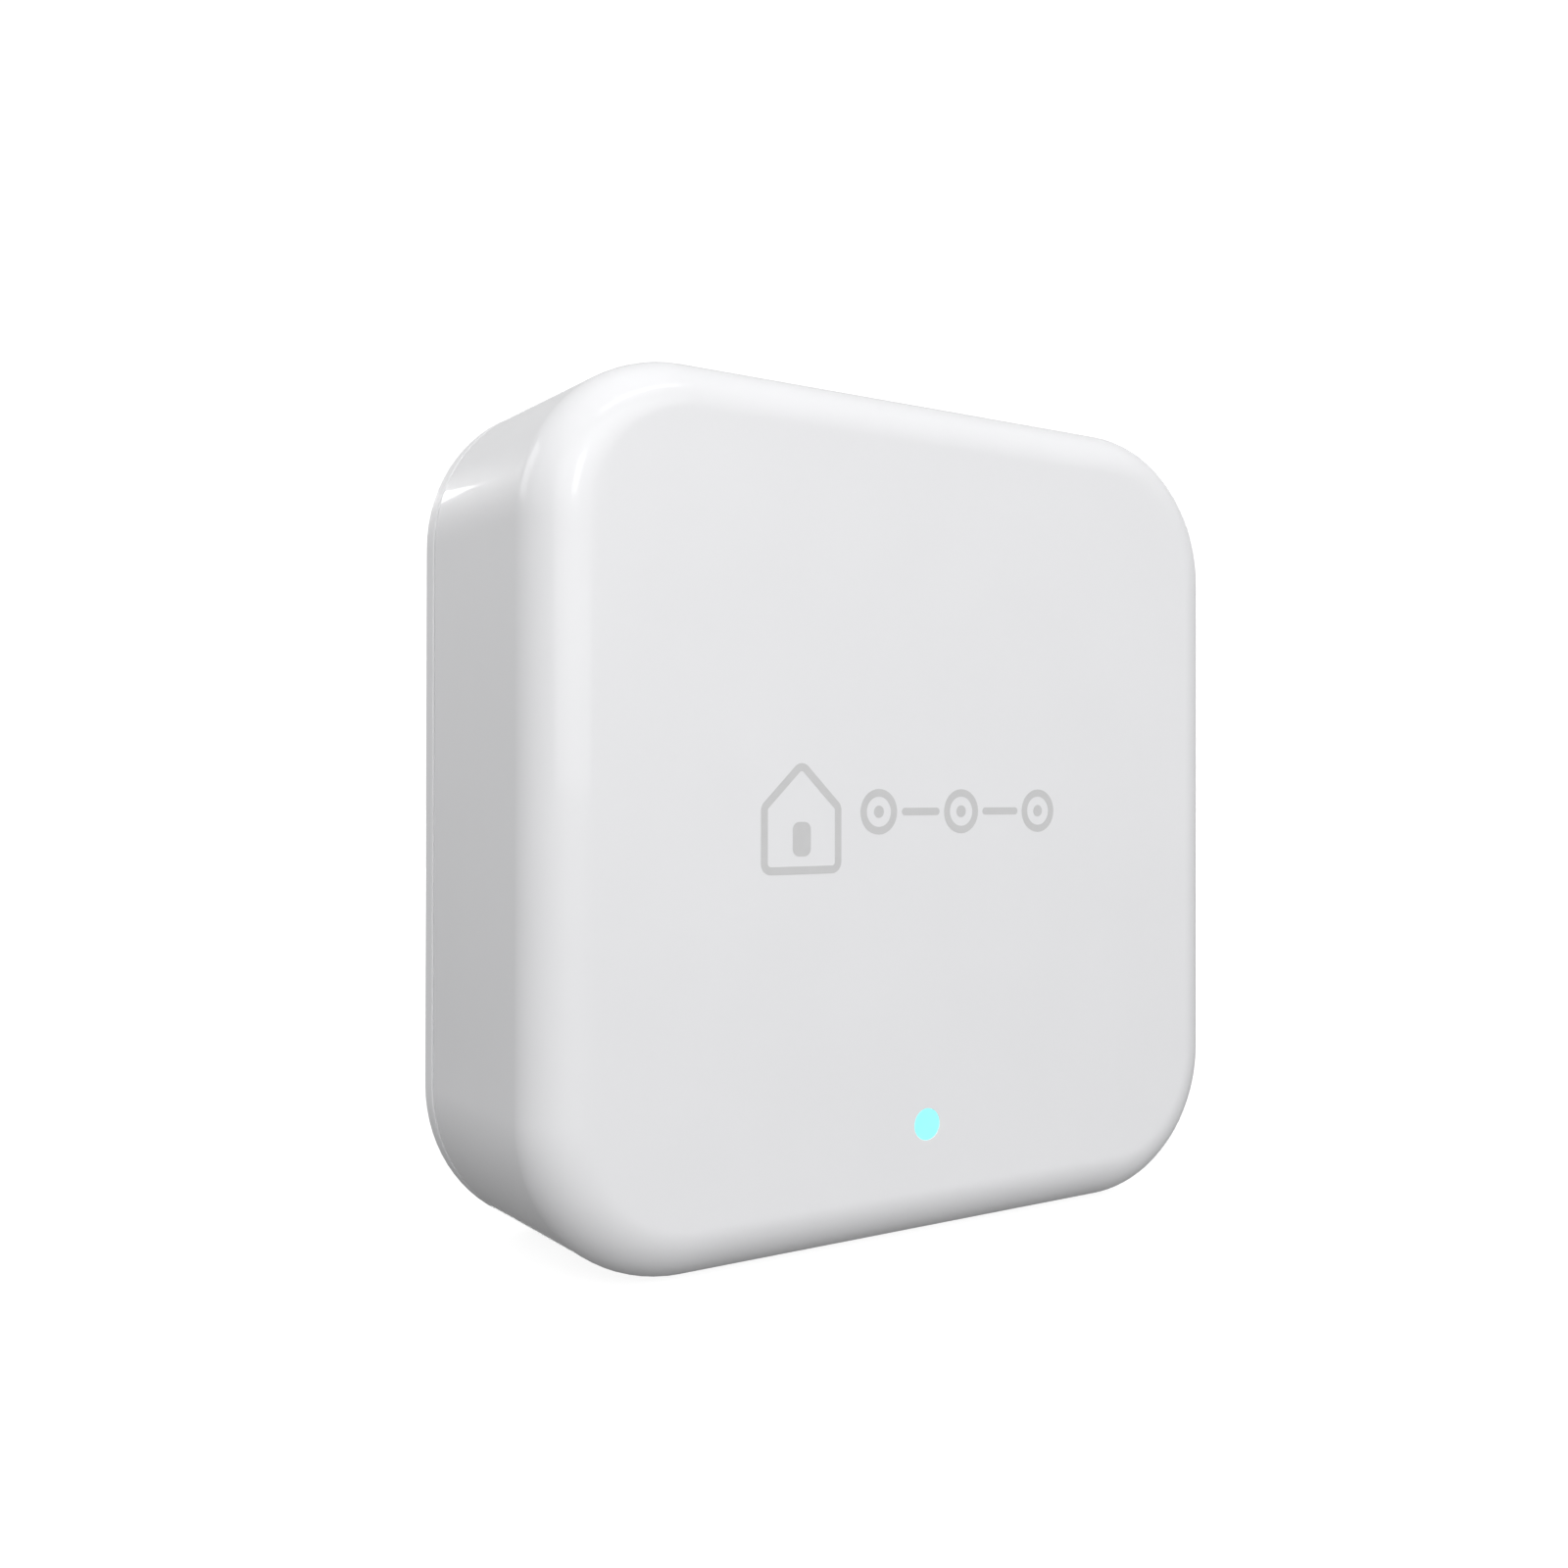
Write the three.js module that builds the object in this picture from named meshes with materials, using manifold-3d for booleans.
// Smart home hub: a square white gateway that stands on one edge or lies on its back.
// A deep moulded front shell holds the circuit board; a thin rear cover closes it with four screws,
// and a rubber foot hides each screw. Power comes in through a USB-C socket in the top edge,
// beside a small sprung reset button. A light pipe carries the status light to the front face.
//
// Millimetres. +X is to the right seen from the front, +Y runs from front to back, +Z is up.
// The origin is the middle of the base, halfway between the front face and the faces of the feet.

import * as THREE from 'three';
import { mergeVertices } from 'three/addons/utils/BufferGeometryUtils.js';
import Module from 'manifold-3d';

const wasm = await Module();
wasm.setup();

// ---------------------------------------------------------------- driving dimensions

// Case
const SIZE = 70; // width and height
const BODY_DEPTH = 22; // front face to the back of the rear cover
const FOOT_PROUD = 0.8; // how far the feet stand out behind the cover
const CORNER = 13.1; // radius of the case's corners seen from the front
const FRONT_FILLET = 4.2; // rounding between the front face and the sides
const SIDE_WALL = 2;
const FRONT_WALL = 2.2;
const COVER_PLATE = 1.7; // thickness of the rear cover's plate
const SEAM = 0.25; // gap between shell and cover
const COVER_EDGE = 0.4; // rounding of the cover's back edge

// Places along Y, from front to back
const FRONT_Y = -(BODY_DEPTH + FOOT_PROUD) / 2;
const INNER_Y = FRONT_Y + FRONT_WALL; // inside of the front wall
const BOSS_ROOT_Y = INNER_Y - 0.5; // bosses and ribs start inside the front wall
const BACK_Y = FRONT_Y + BODY_DEPTH; // back of the rear cover
const PLATE_Y = BACK_Y - COVER_PLATE; // inside of the cover's plate
const RIM_Y = PLATE_Y - SEAM; // rear edge of the shell
const BOARD_Y = 2; // component side of the circuit board
const BOARD_THICK = 1.6;
const MIDDLE_Z = SIZE / 2;

// Case screws, their bosses in the shell and their posts on the cover
const CASE_SCREW_PITCH = 50;
const CASE_BOSS_RADIUS = 3.2;
const POST_RADIUS = 4.3;
const POST_Y = PLATE_Y - 2.1; // front end of the cover's posts
const SEAT_Y = POST_Y + 1.2; // face that the screw heads bear on
const CASE_SCREW_LENGTH = 8;
const BOARD_SCREW_LENGTH = 6;

// Feet
const FOOT_RADIUS = 4.5;
const FOOT_THICK = 1.6;
const FOOT_SEAT_Y = BACK_Y - (FOOT_THICK - FOOT_PROUD); // floor of each foot's recess

// Blank rating label, in a shallow recess in the middle of the cover
const LABEL = { width: 36, height: 26, corner: 2, thick: 0.15, recess: 0.3, margin: 0.3 };

// Rim on the cover that locates it inside the shell
const RIM = { gap: 0.25, thick: 1.2, reach: 2.5 };

// Ribs that tie the bosses to the shell's walls
const RIB_THICK = 1.2;

// Board screws
const BOARD_SCREW_X = 27.5;
const BOARD_SCREW_Z = [20, 50];
const BOARD_BOSS_RADIUS = 2.7;

// One screw size is used throughout: M2.5, pan head, cross recess
const SCREW_RADIUS = 1.25;
const HEAD_RADIUS = 2.4;
const HEAD_HEIGHT = 1.5;
const SCREW_CLEARANCE = 0.12;

// Status light
const LIGHT_Z = 9.6;
const LIGHT_RADIUS = 1.3; // of the tip that shows in the front face
const PIPE = { flange: 2.25, flangeThick: 1.6, body: 1.9, end: 1.7 };

// USB-C socket
const SOCKET_WIDTH = 8.94;
const SOCKET_HEIGHT = 3.26;
const SOCKET_LENGTH = 7.35;
const SOCKET_WALL = 0.3;
const SOCKET_RECESS = 0.1; // how far the mouth lies below the outside of the wall
const SLOT_GAP = 0.25; // between the socket and the edge of its slot in the wall
const SOCKET_Y = BOARD_Y - SOCKET_HEIGHT / 2 - 0.05;
const TONGUE_WIDTH = 6.7;
const TONGUE_THICK = 0.7;

// Reset button
const BUTTON_X = 13;
const BUTTON_RADIUS = 2.2;
const BUTTON_GAP = 0.12; // between the button and its hole
const BUTTON_TRAVEL = 0.5;
const PLUNGER_TRAVEL = 0.25;

const CLEARANCE = 0.05; // gap left between pieces that touch
const CORNER_SEGMENTS = 5; // pairs of flats on each corner of the case

// ---------------------------------------------------------------- materials

const material = (color, roughness, metalness = 0) =>
  new THREE.MeshStandardMaterial({ color, roughness, metalness });

const MATERIALS = {
  shell: material(0xf2f2f3, 0.28),
  cover: material(0xededee, 0.4),
  light: material(0x99ffff, 0.3),
  rubber: material(0x8d8f92, 0.85),
  label: material(0xe4e5e6, 0.6),
  board: material(0x1d5b38, 0.5),
  moduleBoard: material(0x15181d, 0.45),
  steel: material(0xb9bcc0, 0.32, 1),
  tin: material(0xc9cbce, 0.3, 1),
  aluminium: material(0xd2d4d6, 0.35, 1),
  blackPlastic: material(0x1b1c1e, 0.6),
  ferrite: material(0x3a3c40, 0.7),
  ceramic: material(0xb08a5c, 0.5),
  ledBody: material(0xf4f4ee, 0.45),
};

// ---------------------------------------------------------------- shapes

function roundedRectangle(width, height, radius) {
  const x = width / 2;
  const y = height / 2;
  return new THREE.Shape()
    .absarc(x - radius, -y + radius, radius, -Math.PI / 2, 0)
    .absarc(x - radius, y - radius, radius, 0, Math.PI / 2)
    .absarc(-x + radius, y - radius, radius, Math.PI / 2, Math.PI)
    .absarc(-x + radius, -y + radius, radius, Math.PI, Math.PI * 1.5)
    .closePath();
}

// A slot or bar with round ends, whose ends keep a flat of a few microns.
const stadium = (width, height) => roundedRectangle(width, height, height / 2 - 0.001);

// Drawn in X and Z, and extruded along Y from yFront to yBack.
function extrudeAlongY(shape, yFront, yBack, curveSegments = 8) {
  const geometry = new THREE.ExtrudeGeometry(shape, {
    depth: yBack - yFront,
    bevelEnabled: false,
    curveSegments,
  });
  return geometry.rotateX(Math.PI / 2).translate(0, yBack, 0);
}

// Drawn in X and Y, and extruded along Z from zLow to zHigh.
function extrudeAlongZ(shape, zLow, zHigh, curveSegments = 6) {
  return new THREE.ExtrudeGeometry(shape, {
    depth: zHigh - zLow,
    bevelEnabled: false,
    curveSegments,
  }).translate(0, 0, zLow);
}

const box = (x0, x1, y0, y1, z0, z1) =>
  new THREE.BoxGeometry(x1 - x0, y1 - y0, z1 - z0).translate(
    (x0 + x1) / 2,
    (y0 + y1) / 2,
    (z0 + z1) / 2,
  );

const rodAlongY = (radius, x, z, yFront, yBack, segments = 18) =>
  new THREE.CylinderGeometry(radius, radius, yBack - yFront, segments).translate(
    x,
    (yFront + yBack) / 2,
    z,
  );

const rodAlongZ = (radius, x, y, zLow, zHigh, segments = 24) =>
  new THREE.CylinderGeometry(radius, radius, zHigh - zLow, segments)
    .rotateX(Math.PI / 2)
    .translate(x, y, (zLow + zHigh) / 2);

// A body turned about Z: the profile is [radius, z] pairs from the bottom to the top of the axis.
const turned = (profile, segments = 24) =>
  new THREE.LatheGeometry(
    profile.map(([radius, z]) => new THREE.Vector2(radius, z)),
    segments,
  ).rotateX(Math.PI / 2);

// ---------------------------------------------------------------- booleans

function solid(geometry) {
  const bare = geometry.clone();
  bare.deleteAttribute('normal');
  bare.deleteAttribute('uv');
  const merged = mergeVertices(bare, 1e-4);
  return new wasm.Manifold(
    new wasm.Mesh({
      numProp: 3,
      vertProperties: merged.attributes.position.array,
      triVerts: new Uint32Array(merged.index.array),
    }),
  );
}

function geometryOf(manifold) {
  const { vertProperties, triVerts } = manifold.getMesh();
  const geometry = new THREE.BufferGeometry();
  geometry.setAttribute('position', new THREE.BufferAttribute(vertProperties, 3));
  geometry.setIndex(new THREE.BufferAttribute(triVerts, 1));
  return geometry;
}

// Joins every geometry in added, then takes away every one in cut.
function combine(added, cut = []) {
  const joined = added.map(solid).reduce((whole, piece) => whole.add(piece));
  return geometryOf(cut.map(solid).reduce((whole, piece) => whole.subtract(piece), joined));
}

function part(name, geometry, surface) {
  const mesh = new THREE.Mesh(geometry, surface);
  mesh.name = name;
  return mesh;
}

function placed(mesh, x, y, z) {
  mesh.position.set(x, y, z);
  return mesh;
}

// The four places [x, z] of the case screws and the feet.
const CASE_CORNERS = [-1, 1].flatMap((side) =>
  [-1, 1].map((level) => [
    (side * CASE_SCREW_PITCH) / 2,
    MIDDLE_Z + (level * CASE_SCREW_PITCH) / 2,
  ]),
);

// The four places [x, z] of the board screws.
const BOARD_CORNERS = [-1, 1].flatMap((side) => BOARD_SCREW_Z.map((z) => [side * BOARD_SCREW_X, z]));

// ---------------------------------------------------------------- case

// A block that is square with round corners seen from the front. Its end at roundY has a rounded
// edge, and its end at flatY is cut square.
function roundedBlock({ size, corner, edge, roundY, flatY, edgeSegments }) {
  const geometry = new THREE.ExtrudeGeometry(roundedRectangle(size, size, corner), {
    depth: Math.abs(flatY - roundY) - edge,
    bevelThickness: edge,
    bevelSize: edge,
    bevelOffset: -edge,
    bevelSegments: edgeSegments,
    curveSegments: CORNER_SEGMENTS,
  });
  // The extrusion starts at flatY with a second rounded edge, which is cut off again.
  const facesFront = roundY < flatY;
  geometry.rotateX(facesFront ? Math.PI / 2 : -Math.PI / 2).translate(0, flatY, MIDDLE_Z);
  const [wasteFrom, wasteTo] = facesFront ? [flatY, flatY + 2 * edge] : [flatY - 2 * edge, flatY];
  const waste = box(-size, size, wasteFrom, wasteTo, MIDDLE_Z - size, MIDDLE_Z + size);
  return combine([geometry], [waste]);
}

// Ribs run from a boss at [x, z] straight into the nearest wall: a side one, or the top or bottom.
const RIB_REACH = SIZE / 2 - SIDE_WALL + 0.5; // from the middle of the case
const RIB_HALF = RIB_THICK / 2;

function ribToSideWall([x, z], yEnd) {
  const wall = Math.sign(x) * RIB_REACH;
  const [x0, x1] = [Math.min(x, wall), Math.max(x, wall)];
  return box(x0, x1, BOSS_ROOT_Y, yEnd, z - RIB_HALF, z + RIB_HALF);
}

function ribToEndWall([x, z], yEnd) {
  const wall = MIDDLE_Z + Math.sign(z - MIDDLE_Z) * RIB_REACH;
  const [z0, z1] = [Math.min(z, wall), Math.max(z, wall)];
  return box(x - RIB_HALF, x + RIB_HALF, BOSS_ROOT_Y, yEnd, z0, z1);
}

// The blind hole that a screw cuts its thread in, as deep as the screw plus some room.
function pilotHole([x, z], headSeatY, screwLength, mouthY) {
  const floor = headSeatY - screwLength - 1;
  return rodAlongY(SCREW_RADIUS + SCREW_CLEARANCE, x, z, floor, mouthY + 1, 12);
}

function frontShell() {
  const outside = roundedBlock({
    size: SIZE,
    corner: CORNER,
    edge: FRONT_FILLET,
    roundY: FRONT_Y,
    flatY: RIM_Y,
    edgeSegments: 5,
  });
  const cavity = roundedBlock({
    size: SIZE - 2 * SIDE_WALL,
    corner: CORNER - SIDE_WALL,
    edge: FRONT_FILLET - SIDE_WALL,
    roundY: INNER_Y,
    flatY: RIM_Y + 1,
    edgeSegments: 3,
  });
  const hollow = combine([outside], [cavity]);

  const caseBossEnd = POST_Y - CLEARANCE;
  const boardBossEnd = BOARD_Y - CLEARANCE;
  const caseBosses = CASE_CORNERS.flatMap((corner) => [
    rodAlongY(CASE_BOSS_RADIUS, ...corner, BOSS_ROOT_Y, caseBossEnd),
    ribToSideWall(corner, caseBossEnd - 1.2),
    ribToEndWall(corner, caseBossEnd - 1.2),
  ]);
  const boardBosses = BOARD_CORNERS.flatMap((corner) => [
    rodAlongY(BOARD_BOSS_RADIUS, ...corner, BOSS_ROOT_Y, boardBossEnd),
    ribToSideWall(corner, boardBossEnd - 3),
  ]);
  const pilotHoles = [
    ...CASE_CORNERS.map((corner) => pilotHole(corner, SEAT_Y, CASE_SCREW_LENGTH, caseBossEnd)),
    ...BOARD_CORNERS.map((corner) =>
      pilotHole(corner, BOARD_Y + BOARD_THICK, BOARD_SCREW_LENGTH, boardBossEnd),
    ),
  ];

  // Two blades that the board rests on beside the socket, against the push of a plug.
  const blades = [-8, 8].map((x) => box(x - 0.7, x + 0.7, BOSS_ROOT_Y, boardBossEnd, 62, 66.6));

  // The collar holds the light pipe square to the front wall.
  const collar = rodAlongY(PIPE.flange + 1.35, 0, LIGHT_Z, BOSS_ROOT_Y, INNER_Y + 5);
  const collarBore = rodAlongY(PIPE.flange + 0.1, 0, LIGHT_Z, INNER_Y, INNER_Y + 6);
  const lightHole = rodAlongY(LIGHT_RADIUS + CLEARANCE, 0, LIGHT_Z, FRONT_Y - 1, INNER_Y + 1);

  const wallFrom = SIZE - SIDE_WALL - 1;
  const socketSlot = extrudeAlongZ(
    stadium(SOCKET_WIDTH + 2 * SLOT_GAP, SOCKET_HEIGHT + 2 * SLOT_GAP),
    wallFrom,
    SIZE + 1,
  ).translate(0, SOCKET_Y, 0);
  const buttonHole = rodAlongZ(BUTTON_RADIUS + BUTTON_GAP, BUTTON_X, SOCKET_Y, wallFrom, SIZE + 1);

  return part(
    'front_shell',
    combine(
      [hollow, ...caseBosses, ...boardBosses, ...blades, collar],
      [...pilotHoles, collarBore, lightHole, socketSlot, buttonHole],
    ),
    MATERIALS.shell,
  );
}

function rearCover() {
  const plate = roundedBlock({
    size: SIZE,
    corner: CORNER,
    edge: COVER_EDGE,
    roundY: BACK_Y,
    flatY: PLATE_Y,
    edgeSegments: 2,
  });
  const rimSize = SIZE - 2 * (SIDE_WALL + RIM.gap);
  const rimCorner = CORNER - SIDE_WALL - RIM.gap;
  const ring = roundedRectangle(rimSize, rimSize, rimCorner);
  const inner = rimSize - 2 * RIM.thick;
  ring.holes.push(roundedRectangle(inner, inner, rimCorner - RIM.thick));
  const rim = extrudeAlongY(ring, PLATE_Y - RIM.reach, PLATE_Y + 0.5).translate(0, 0, MIDDLE_Z);

  const posts = CASE_CORNERS.map((corner) =>
    rodAlongY(POST_RADIUS, ...corner, POST_Y, PLATE_Y + 0.5),
  );
  const screwAndFootRecesses = CASE_CORNERS.flatMap((corner) => [
    rodAlongY(FOOT_RADIUS + 0.2, ...corner, FOOT_SEAT_Y, BACK_Y + 1, 24),
    rodAlongY(HEAD_RADIUS + 0.4, ...corner, SEAT_Y, BACK_Y),
    rodAlongY(SCREW_RADIUS + 0.25, ...corner, POST_Y - 1, BACK_Y, 12),
  ]);
  const labelRecess = extrudeAlongY(
    roundedRectangle(
      LABEL.width + 2 * LABEL.margin,
      LABEL.height + 2 * LABEL.margin,
      LABEL.corner + LABEL.margin,
    ),
    BACK_Y - LABEL.recess,
    BACK_Y + 1,
    4,
  ).translate(0, 0, MIDDLE_Z);
  return part(
    'rear_cover',
    combine([plate, rim, ...posts], [...screwAndFootRecesses, labelRecess]),
    MATERIALS.cover,
  );
}

function ratingLabel() {
  const shape = roundedRectangle(LABEL.width, LABEL.height, LABEL.corner);
  const floor = BACK_Y - LABEL.recess + CLEARANCE;
  const sticker = extrudeAlongY(shape, floor, floor + LABEL.thick, 4);
  return placed(part('rating_label', sticker, MATERIALS.label), 0, 0, MIDDLE_Z);
}

function rubberFoot(index, [x, z]) {
  const chamfer = 0.35;
  const thick = FOOT_THICK - CLEARANCE;
  const profile = [
    [0, 0],
    [FOOT_RADIUS, 0],
    [FOOT_RADIUS, thick - chamfer],
    [FOOT_RADIUS - chamfer, thick],
    [0, thick],
  ];
  // Its flat back sticks to the recess, and its chamfered face points away from the case.
  const foot = part(`rubber_foot_${index}`, turned(profile, 24), MATERIALS.rubber);
  foot.rotation.x = -Math.PI / 2;
  return placed(foot, x, FOOT_SEAT_Y + CLEARANCE, z);
}

// A pan-head screw at the corner [x, z]: the head bears on seatY and the shank points forwards.
function panScrew(name, length, [x, z], seatY) {
  const tip = 1;
  const profile = [
    [0, -length],
    [SCREW_RADIUS * 0.35, -length],
    [SCREW_RADIUS, -length + tip],
    [SCREW_RADIUS, 0],
    [HEAD_RADIUS, 0],
    [HEAD_RADIUS, HEAD_HEIGHT * 0.5],
    [HEAD_RADIUS * 0.7, HEAD_HEIGHT],
    [0, HEAD_HEIGHT],
  ];
  const arm = HEAD_RADIUS * 0.55;
  const half = 0.28;
  const floor = HEAD_HEIGHT * 0.4;
  const crossRecess = [
    box(-arm, arm, -half, half, floor, HEAD_HEIGHT + 1),
    box(-half, half, -arm, arm, floor, HEAD_HEIGHT + 1),
  ];
  const screw = part(name, combine([turned(profile, 14)], crossRecess), MATERIALS.steel);
  screw.rotation.x = -Math.PI / 2;
  return placed(screw, x, seatY + CLEARANCE, z);
}

const caseScrew = (index, corner) =>
  panScrew(`case_screw_${index}`, CASE_SCREW_LENGTH, corner, SEAT_Y);

const boardScrew = (index, corner) =>
  panScrew(`board_screw_${index}`, BOARD_SCREW_LENGTH, corner, BOARD_Y + BOARD_THICK);

// ---------------------------------------------------------------- status light

const LED = { width: 3.5, height: 2.8, thick: 1.4 };

// The pipe's narrow tip fills the hole in the front wall; its flange sits in the shell's collar.
// Turned with the tip's face at 0 and the end that faces the LED below it.
function lightPipe() {
  const flangeTop = -(FRONT_WALL + CLEARANCE);
  const flangeBottom = flangeTop - PIPE.flangeThick;
  const ledFace = BOARD_Y - CLEARANCE - LED.thick;
  const length = ledFace - 0.3 - FRONT_Y;
  const profile = [
    [0, -length],
    [PIPE.end, -length],
    [PIPE.body, flangeBottom],
    [PIPE.flange, flangeBottom],
    [PIPE.flange, flangeTop],
    [LIGHT_RADIUS, flangeTop],
    [LIGHT_RADIUS, 0],
    [0, 0],
  ];
  const pipe = part('light_pipe', turned(profile, 20), MATERIALS.light);
  pipe.rotation.x = Math.PI / 2;
  return placed(pipe, 0, FRONT_Y, LIGHT_Z);
}

// ---------------------------------------------------------------- USB-C socket

const SOCKET_LEGS = { behind: [4, 6.6], length: 1, slack: 0.2 }; // two pairs, behind the mouth

// Modelled with its mouth at 0 and opening towards +Z.
function usbShell() {
  const outline = stadium(SOCKET_WIDTH, SOCKET_HEIGHT);
  const inside = stadium(SOCKET_WIDTH - 2 * SOCKET_WALL, SOCKET_HEIGHT - 2 * SOCKET_WALL);
  outline.holes.push(inside);
  const tube = extrudeAlongZ(outline, -SOCKET_LENGTH, 0, 5);
  const legEnd = BOARD_Y + BOARD_THICK + 0.4 - SOCKET_Y; // just through the board
  const outer = SOCKET_WIDTH / 2;
  const legs = [-1, 1].flatMap((side) =>
    SOCKET_LEGS.behind.map((z) => {
      const [x0, x1] = [side * (outer - SOCKET_WALL), side * outer].sort((a, b) => a - b);
      return box(x0, x1, 0, legEnd, -z - SOCKET_LEGS.length / 2, -z + SOCKET_LEGS.length / 2);
    }),
  );
  return part('usb_shell', combine([tube, ...legs]), MATERIALS.steel);
}

function usbTongue() {
  const gap = 2 * (SOCKET_WALL + 0.03);
  const baseFront = -SOCKET_LENGTH + 1.2;
  const section = stadium(SOCKET_WIDTH - gap, SOCKET_HEIGHT - gap);
  const base = extrudeAlongZ(section, -SOCKET_LENGTH, baseFront, 5);
  const halfThick = TONGUE_THICK / 2;
  const halfWide = TONGUE_WIDTH / 2;
  const tip = -0.9; // the tongue stops this far inside the mouth
  const tongue = box(-halfWide, halfWide, -halfThick, halfThick, baseFront - 0.2, tip);
  return part('usb_tongue', combine([base, tongue]), MATERIALS.blackPlastic);
}

function usbSocket() {
  const socket = new THREE.Group();
  socket.add(usbShell(), usbTongue());
  return placed(socket, 0, SOCKET_Y, SIZE - SOCKET_RECESS);
}

// ---------------------------------------------------------------- reset button and its switch

const BUTTON_FLANGE = { radius: 2.8, thick: 0.8 };
const SWITCH = { width: 6, length: 3.3, height: 3.2, top: 62.2 };
const PLUNGER = { width: 1.9, height: 1.4, proud: 1.4, inside: 1 };

// Modelled with the finger face at 0, facing +Z, and slightly dished.
function resetButton() {
  const flangeTop = -SIDE_WALL - CLEARANCE;
  const flangeBottom = flangeTop - BUTTON_FLANGE.thick;
  const plungerTop = SWITCH.top + PLUNGER.proud - SIZE;
  const stemEnd = plungerTop + (BUTTON_TRAVEL - PLUNGER_TRAVEL) + 0.02;
  const profile = [
    [0, stemEnd],
    [1.1, stemEnd],
    [1.1, flangeBottom],
    [BUTTON_FLANGE.radius, flangeBottom],
    [BUTTON_FLANGE.radius, flangeTop],
    [BUTTON_RADIUS, flangeTop],
    [BUTTON_RADIUS, -0.2],
    [BUTTON_RADIUS - 0.2, 0],
    [BUTTON_RADIUS * 0.5, -0.12],
    [0, -0.18],
  ];
  const button = part('reset_button', turned(profile, 24), MATERIALS.cover);
  return placed(button, BUTTON_X, SOCKET_Y, SIZE);
}

function switchPlunger() {
  const { width, height, proud, inside } = PLUNGER;
  const peg = box(-width / 2, width / 2, -height / 2, height / 2, -inside, proud);
  const plunger = part('switch_plunger', peg, MATERIALS.blackPlastic);
  return placed(plunger, BUTTON_X, SOCKET_Y, SWITCH.top);
}

// The switch lies on the board with its plunger pointing at the button.
function switchBody() {
  const { width, length, height, top } = SWITCH;
  const back = BOARD_Y - CLEARANCE;
  const body = box(-width / 2, width / 2, back - height, back, top - length, top);
  const slack = 0.15;
  const halfWidth = PLUNGER.width / 2 + slack;
  const halfHeight = PLUNGER.height / 2 + slack;
  const pocket = box(
    -halfWidth,
    halfWidth,
    SOCKET_Y - halfHeight,
    SOCKET_Y + halfHeight,
    top - PLUNGER.inside - PLUNGER_TRAVEL - slack,
    top + 1,
  );
  const housing = part('switch_body', combine([body], [pocket]), MATERIALS.blackPlastic);
  return placed(housing, BUTTON_X, 0, 0);
}

// A steel yoke wraps the switch body's outer face and ends.
function switchYoke() {
  const { width, length, height, top } = SWITCH;
  const thick = 0.2;
  const margin = 0.4; // of the body left bare above and below the yoke
  const back = BOARD_Y - CLEARANCE;
  const inner = back - height - CLEARANCE;
  const half = width / 2 + CLEARANCE;
  const [low, high] = [top - length + margin, top - margin];
  const strap = combine([
    box(-half - thick, half + thick, inner - thick, inner, low, high),
    box(-half - thick, -half, inner - thick, back, low, high),
    box(half, half + thick, inner - thick, back, low, high),
  ]);
  return placed(part('switch_yoke', strap, MATERIALS.tin), BUTTON_X, 0, 0);
}

// ---------------------------------------------------------------- circuit board

// On the board everything is drawn lying flat: x is world X, y is world Z, and z is the height
// above the component side, which faces the front of the case.

const BOARD_HALF_WIDTH = 31;
const BOARD_BOTTOM = 4;
const BOARD_TOP = 67.2;
const NECK_HALF_WIDTH = 19.5; // half width beside the case bosses
const SHOULDERS = [15.5, 54.5]; // heights where the narrow ends begin

function boardOutline() {
  const [low, high] = SHOULDERS;
  const notch = { half: 3.8, floor: BOARD_TOP - 1.5 }; // room for the button's flange
  const corners = [
    [-NECK_HALF_WIDTH, BOARD_BOTTOM],
    [NECK_HALF_WIDTH, BOARD_BOTTOM],
    [NECK_HALF_WIDTH, low],
    [BOARD_HALF_WIDTH, low],
    [BOARD_HALF_WIDTH, high],
    [NECK_HALF_WIDTH, high],
    [NECK_HALF_WIDTH, BOARD_TOP],
    [BUTTON_X + notch.half, BOARD_TOP],
    [BUTTON_X + notch.half, notch.floor],
    [BUTTON_X - notch.half, notch.floor],
    [BUTTON_X - notch.half, BOARD_TOP],
    [-NECK_HALF_WIDTH, BOARD_TOP],
    [-NECK_HALF_WIDTH, high],
    [-BOARD_HALF_WIDTH, high],
    [-BOARD_HALF_WIDTH, low],
    [-NECK_HALF_WIDTH, low],
  ];
  return new THREE.Shape(corners.map(([x, y]) => new THREE.Vector2(x, y)));
}

// A row of empty holes for a programming header
const TEST_HEADER = { x: -8, y: 20, pitch: 2.54, count: 4, radius: 0.5 };

function mainBoard() {
  const outline = boardOutline();
  const addHole = (x, y, radius) => {
    outline.holes.push(new THREE.Path().absarc(x, y, radius, 0, 2 * Math.PI));
  };
  for (const [x, z] of BOARD_CORNERS) addHole(x, z, SCREW_RADIUS + 0.15);
  for (let i = 0; i < TEST_HEADER.count; i += 1) {
    addHole(TEST_HEADER.x + i * TEST_HEADER.pitch, TEST_HEADER.y, TEST_HEADER.radius);
  }
  const slab = extrudeAlongZ(outline, -BOARD_THICK, 0, 6);
  const halfWide = SOCKET_WALL / 2 + SOCKET_LEGS.slack;
  const halfLong = SOCKET_LEGS.length / 2 + SOCKET_LEGS.slack;
  const legSlots = [-1, 1].flatMap((side) =>
    SOCKET_LEGS.behind.map((behind) => {
      const x = (side * (SOCKET_WIDTH - SOCKET_WALL)) / 2;
      const y = SIZE - SOCKET_RECESS - behind;
      return box(x - halfWide, x + halfWide, y - halfLong, y + halfLong, -BOARD_THICK - 1, 1);
    }),
  );
  return part('main_board', combine([slab], legSlots), MATERIALS.board);
}

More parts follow.
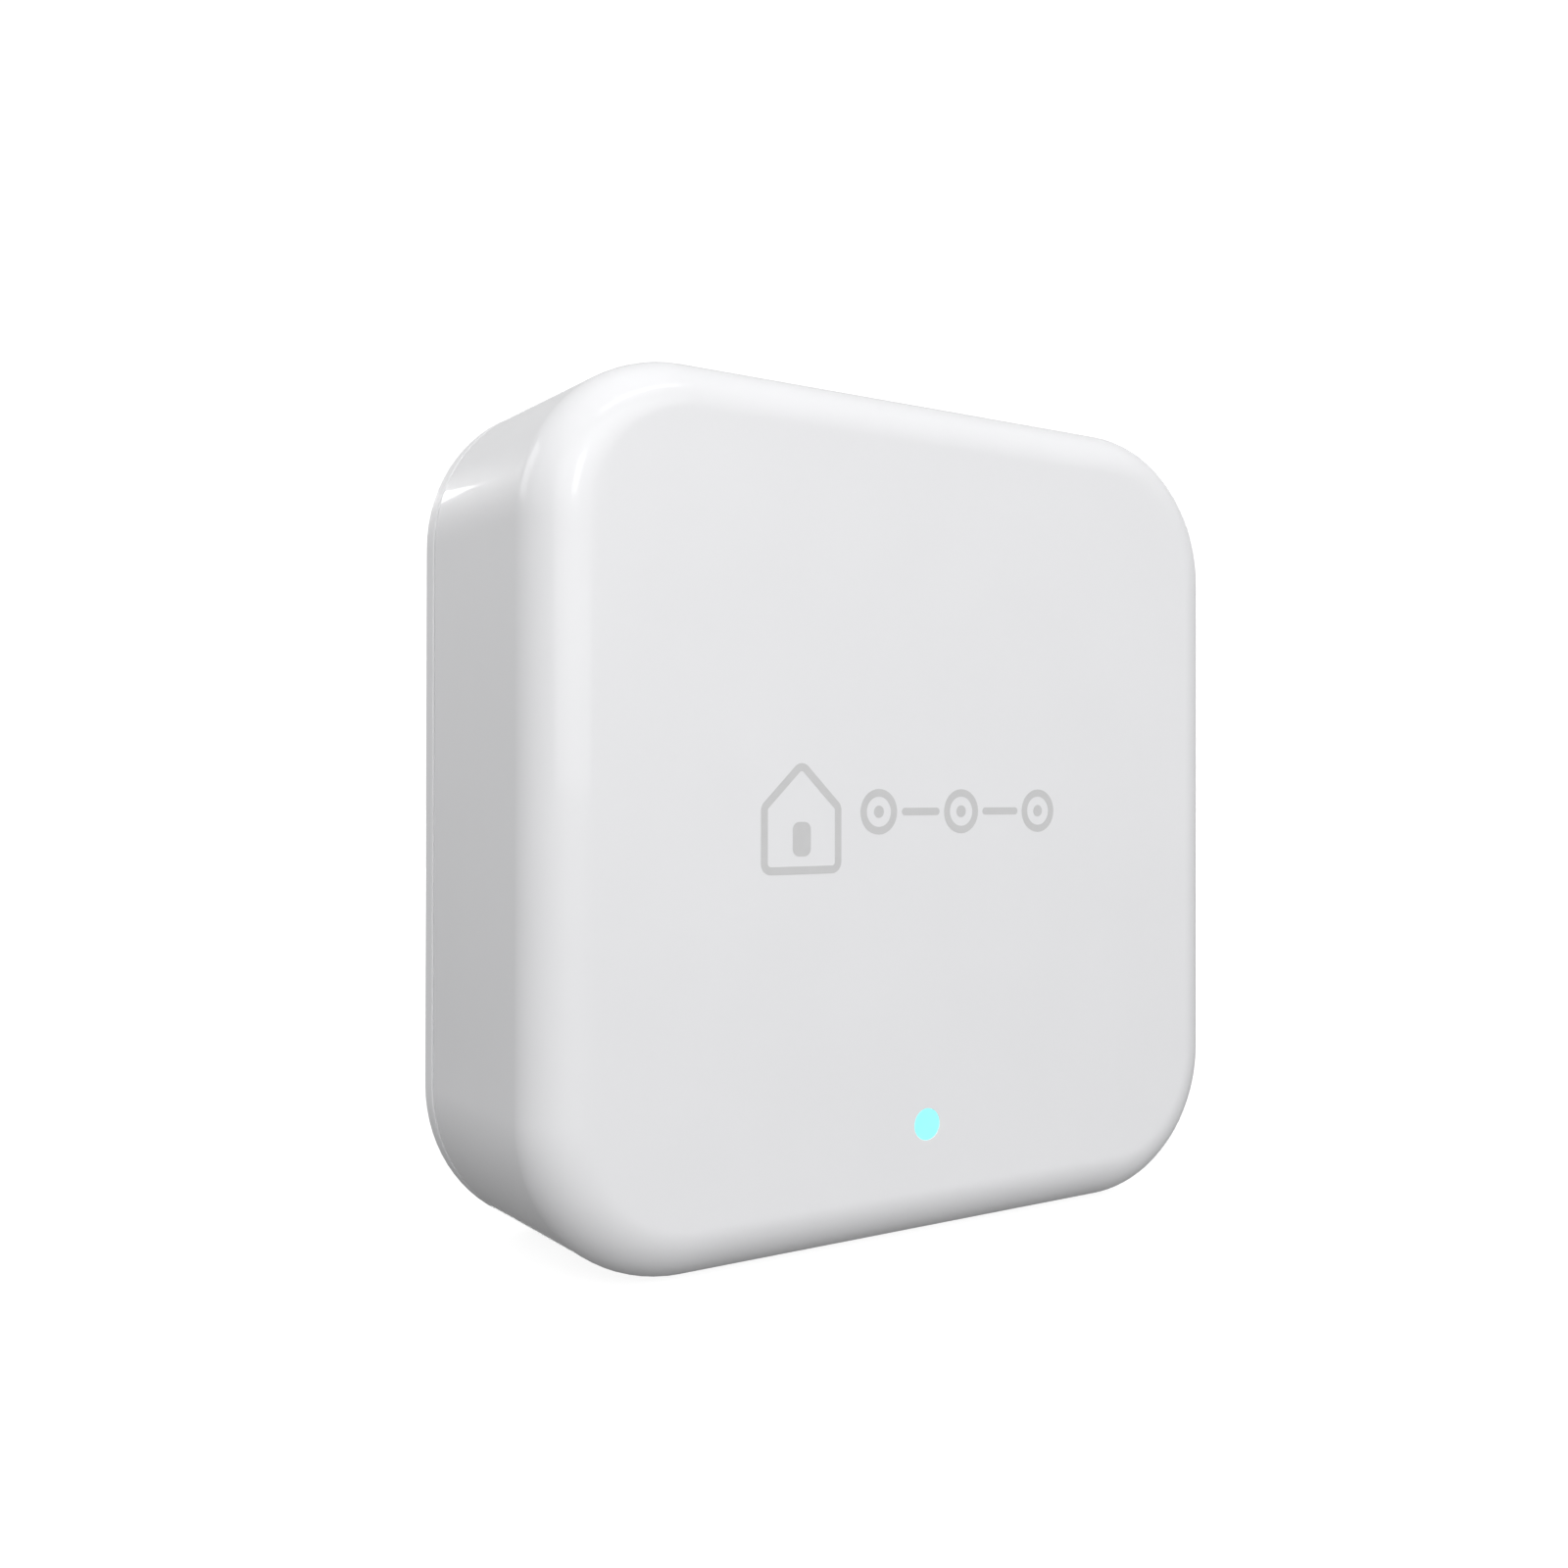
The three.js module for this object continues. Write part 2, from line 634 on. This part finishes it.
// A chip, can or other block of a stated size standing on the board.
function block(name, [width, length, height], [x, y], surface, standoff = CLEARANCE) {
  const body = box(-width / 2, width / 2, -length / 2, length / 2, 0, height);
  return placed(part(name, body, surface), x, y, standoff);
}

// A steel can, open towards the board, with round corners.
function shieldCan(name, width, length, height, [x, y], standoff) {
  const wall = 0.2;
  const outside = extrudeAlongZ(roundedRectangle(width, length, 0.8), 0, height, 3);
  const inside = extrudeAlongZ(
    roundedRectangle(width - 2 * wall, length - 2 * wall, 0.6),
    -1,
    height - wall,
    3,
  );
  return placed(part(name, combine([outside], [inside]), MATERIALS.tin), x, y, standoff);
}

// A radio module: its own small board, a shield can over the chip, and a bare end for the antenna.
function radioModule(name, spec) {
  const module = new THREE.Group();
  const top = CLEARANCE + spec.boardThick;
  const boardSize = [spec.length, spec.width, spec.boardThick];
  const canHeight = spec.height - spec.boardThick;
  const shift = spec.antennaSide * -spec.canShift;
  module.add(
    block(`${name}_board`, boardSize, [0, 0], MATERIALS.moduleBoard),
    block(`${name}_chip`, spec.chip, [shift, 0], MATERIALS.blackPlastic, top + CLEARANCE),
    shieldCan(`${name}_shield`, spec.can[0], spec.can[1], canHeight, [shift, 0], top + CLEARANCE),
  );
  return placed(module, spec.x, spec.y, 0);
}

const WIFI = {
  length: 24,
  width: 16,
  boardThick: 0.8,
  height: 3.1,
  can: [15.4, 12.6],
  canShift: 3,
  chip: [5, 5, 0.9],
  antennaSide: -1,
  x: -18.5,
  y: 35,
};

const BLUETOOTH = {
  length: 17,
  width: 12.4,
  boardThick: 0.8,
  height: 2.6,
  can: [10, 9.6],
  canShift: 2.3,
  chip: [4, 4, 0.8],
  antennaSide: 1,
  x: 22,
  y: 35,
};

// An aluminium electrolytic capacitor: a plastic base with two cut corners and a turned can.
function bulkCapacitor(index, [x, y]) {
  const half = 3.3;
  const cut = 1.2;
  const radius = 3.15;
  const baseHeight = 0.7;
  const canHeight = 5.4;
  const shape = new THREE.Shape([
    new THREE.Vector2(-half, -half),
    new THREE.Vector2(half - cut, -half),
    new THREE.Vector2(half, -half + cut),
    new THREE.Vector2(half, half - cut),
    new THREE.Vector2(half - cut, half),
    new THREE.Vector2(-half, half),
  ]);
  const base = part(
    `capacitor_base_${index}`,
    extrudeAlongZ(shape, 0, baseHeight),
    MATERIALS.blackPlastic,
  );
  const profile = [
    [0, 0],
    [radius, 0],
    [radius, 0.9],
    [radius - 0.25, 1.25],
    [radius, 1.6],
    [radius, canHeight - 0.4],
    [radius - 0.4, canHeight],
    [0, canHeight],
  ];
  const can = part(`capacitor_can_${index}`, turned(profile, 18), MATERIALS.aluminium);
  const capacitor = new THREE.Group();
  capacitor.add(placed(base, 0, 0, CLEARANCE));
  capacitor.add(placed(can, 0, 0, 2 * CLEARANCE + baseHeight));
  return placed(capacitor, x, y, 0);
}

function powerInductor([x, y]) {
  const tray = extrudeAlongZ(roundedRectangle(5, 5, 0.7), 0, 2.6, 3);
  return placed(part('power_inductor', tray, MATERIALS.ferrite), x, y, CLEARANCE);
}

// The small resistors and capacitors stand in rows beside what they serve. Each place is
// [x, y, turned].
const CHIP_SIZE = [1.6, 0.8, 0.5];
const CHIP_CAPACITORS = [
  ...[0, 1, 2, 3].map((i) => [-2.4 + i * 1.6, 56.6, true]),
  ...[0, 1, 2].map((i) => [5.5, 9 + i * 2, false]),
];
const CHIP_RESISTORS = [
  ...[0, 1, 2, 3].map((i) => [-1.2, 44 - i * 2, false]),
  ...[0, 1, 2].map((i) => [7.5 + i * 1.8, 26, true]),
];

const chipRow = (name, places, surface) =>
  places.map(([x, y, isTurned], i) => {
    const chip = block(`${name}_${i + 1}`, CHIP_SIZE, [x, y], surface);
    chip.rotation.z = isTurned ? Math.PI / 2 : 0;
    return chip;
  });

function circuitBoard() {
  const board = new THREE.Group();
  board.add(
    mainBoard(),
    radioModule('wifi', WIFI),
    radioModule('bluetooth', BLUETOOTH),
    block('status_led', [LED.width, LED.height, LED.thick], [0, LIGHT_Z], MATERIALS.ledBody),
    block('voltage_regulator', [6.5, 3.5, 1.6], [-7.8, 51], MATERIALS.blackPlastic),
    block('microcontroller', [7, 7, 0.9], [8, 17.5], MATERIALS.blackPlastic),
    block('flash_chip', [5.2, 4, 1.6], [5, 31.5], MATERIALS.blackPlastic),
    block('clock_crystal', [3.2, 2.5, 0.8], [8, 11.3], MATERIALS.tin),
    block('input_fuse', [3.2, 1.6, 0.8], [-7.6, 56.8], MATERIALS.ceramic),
    block('surge_diode', [2.9, 1.5, 1.1], [6.4, 56.8], MATERIALS.blackPlastic),
    powerInductor([2.6, 51]),
    bulkCapacitor(1, [-15, 58.5]),
    bulkCapacitor(2, [-15, 50]),
    ...chipRow('chip_capacitor', CHIP_CAPACITORS, MATERIALS.ceramic),
    ...chipRow('chip_resistor', CHIP_RESISTORS, MATERIALS.blackPlastic),
  );
  board.rotation.x = Math.PI / 2;
  return placed(board, 0, BOARD_Y, 0);
}

// ---------------------------------------------------------------- assembly

const hub = new THREE.Group();
hub.add(
  frontShell(),
  rearCover(),
  ratingLabel(),
  ...CASE_CORNERS.map((corner, i) => rubberFoot(i + 1, corner)),
  ...CASE_CORNERS.map((corner, i) => caseScrew(i + 1, corner)),
  ...BOARD_CORNERS.map((corner, i) => boardScrew(i + 1, corner)),
  lightPipe(),
  usbSocket(),
  resetButton(),
  switchPlunger(),
  switchBody(),
  switchYoke(),
  circuitBoard(),
);

export default hub;
